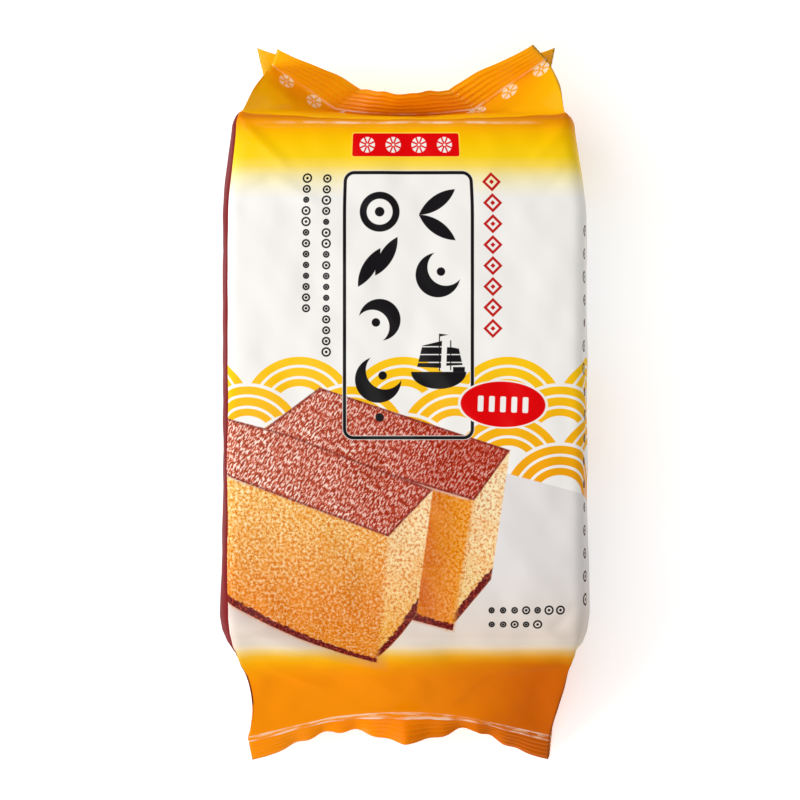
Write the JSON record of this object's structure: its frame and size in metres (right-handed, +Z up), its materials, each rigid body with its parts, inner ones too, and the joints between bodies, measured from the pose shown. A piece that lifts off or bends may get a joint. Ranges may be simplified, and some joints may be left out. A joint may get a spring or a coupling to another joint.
{
  "type": "gusseted film pack of sliced sponge cake",
  "caption": "Sealed gusseted film pack of sliced sponge cake, lying on its back, with eared crimped ends and a printed front panel",
  "frame": {"origin": "centre of the pack's box on the surface that it lies on", "axes": "+Y runs along the pack towards its eared end, +X is the front panel's right-hand side, +Z is up out of the front panel"},
  "size_m": [0.1014, 0.2008, 0.054],
  "materials": {
    "printed_film": "glossy printed plastic film, amber at the ends and off-white between"
  },
  "bodies": {
    "root": {"cake_pack": "printed_film"}
  },
  "joints": []
}
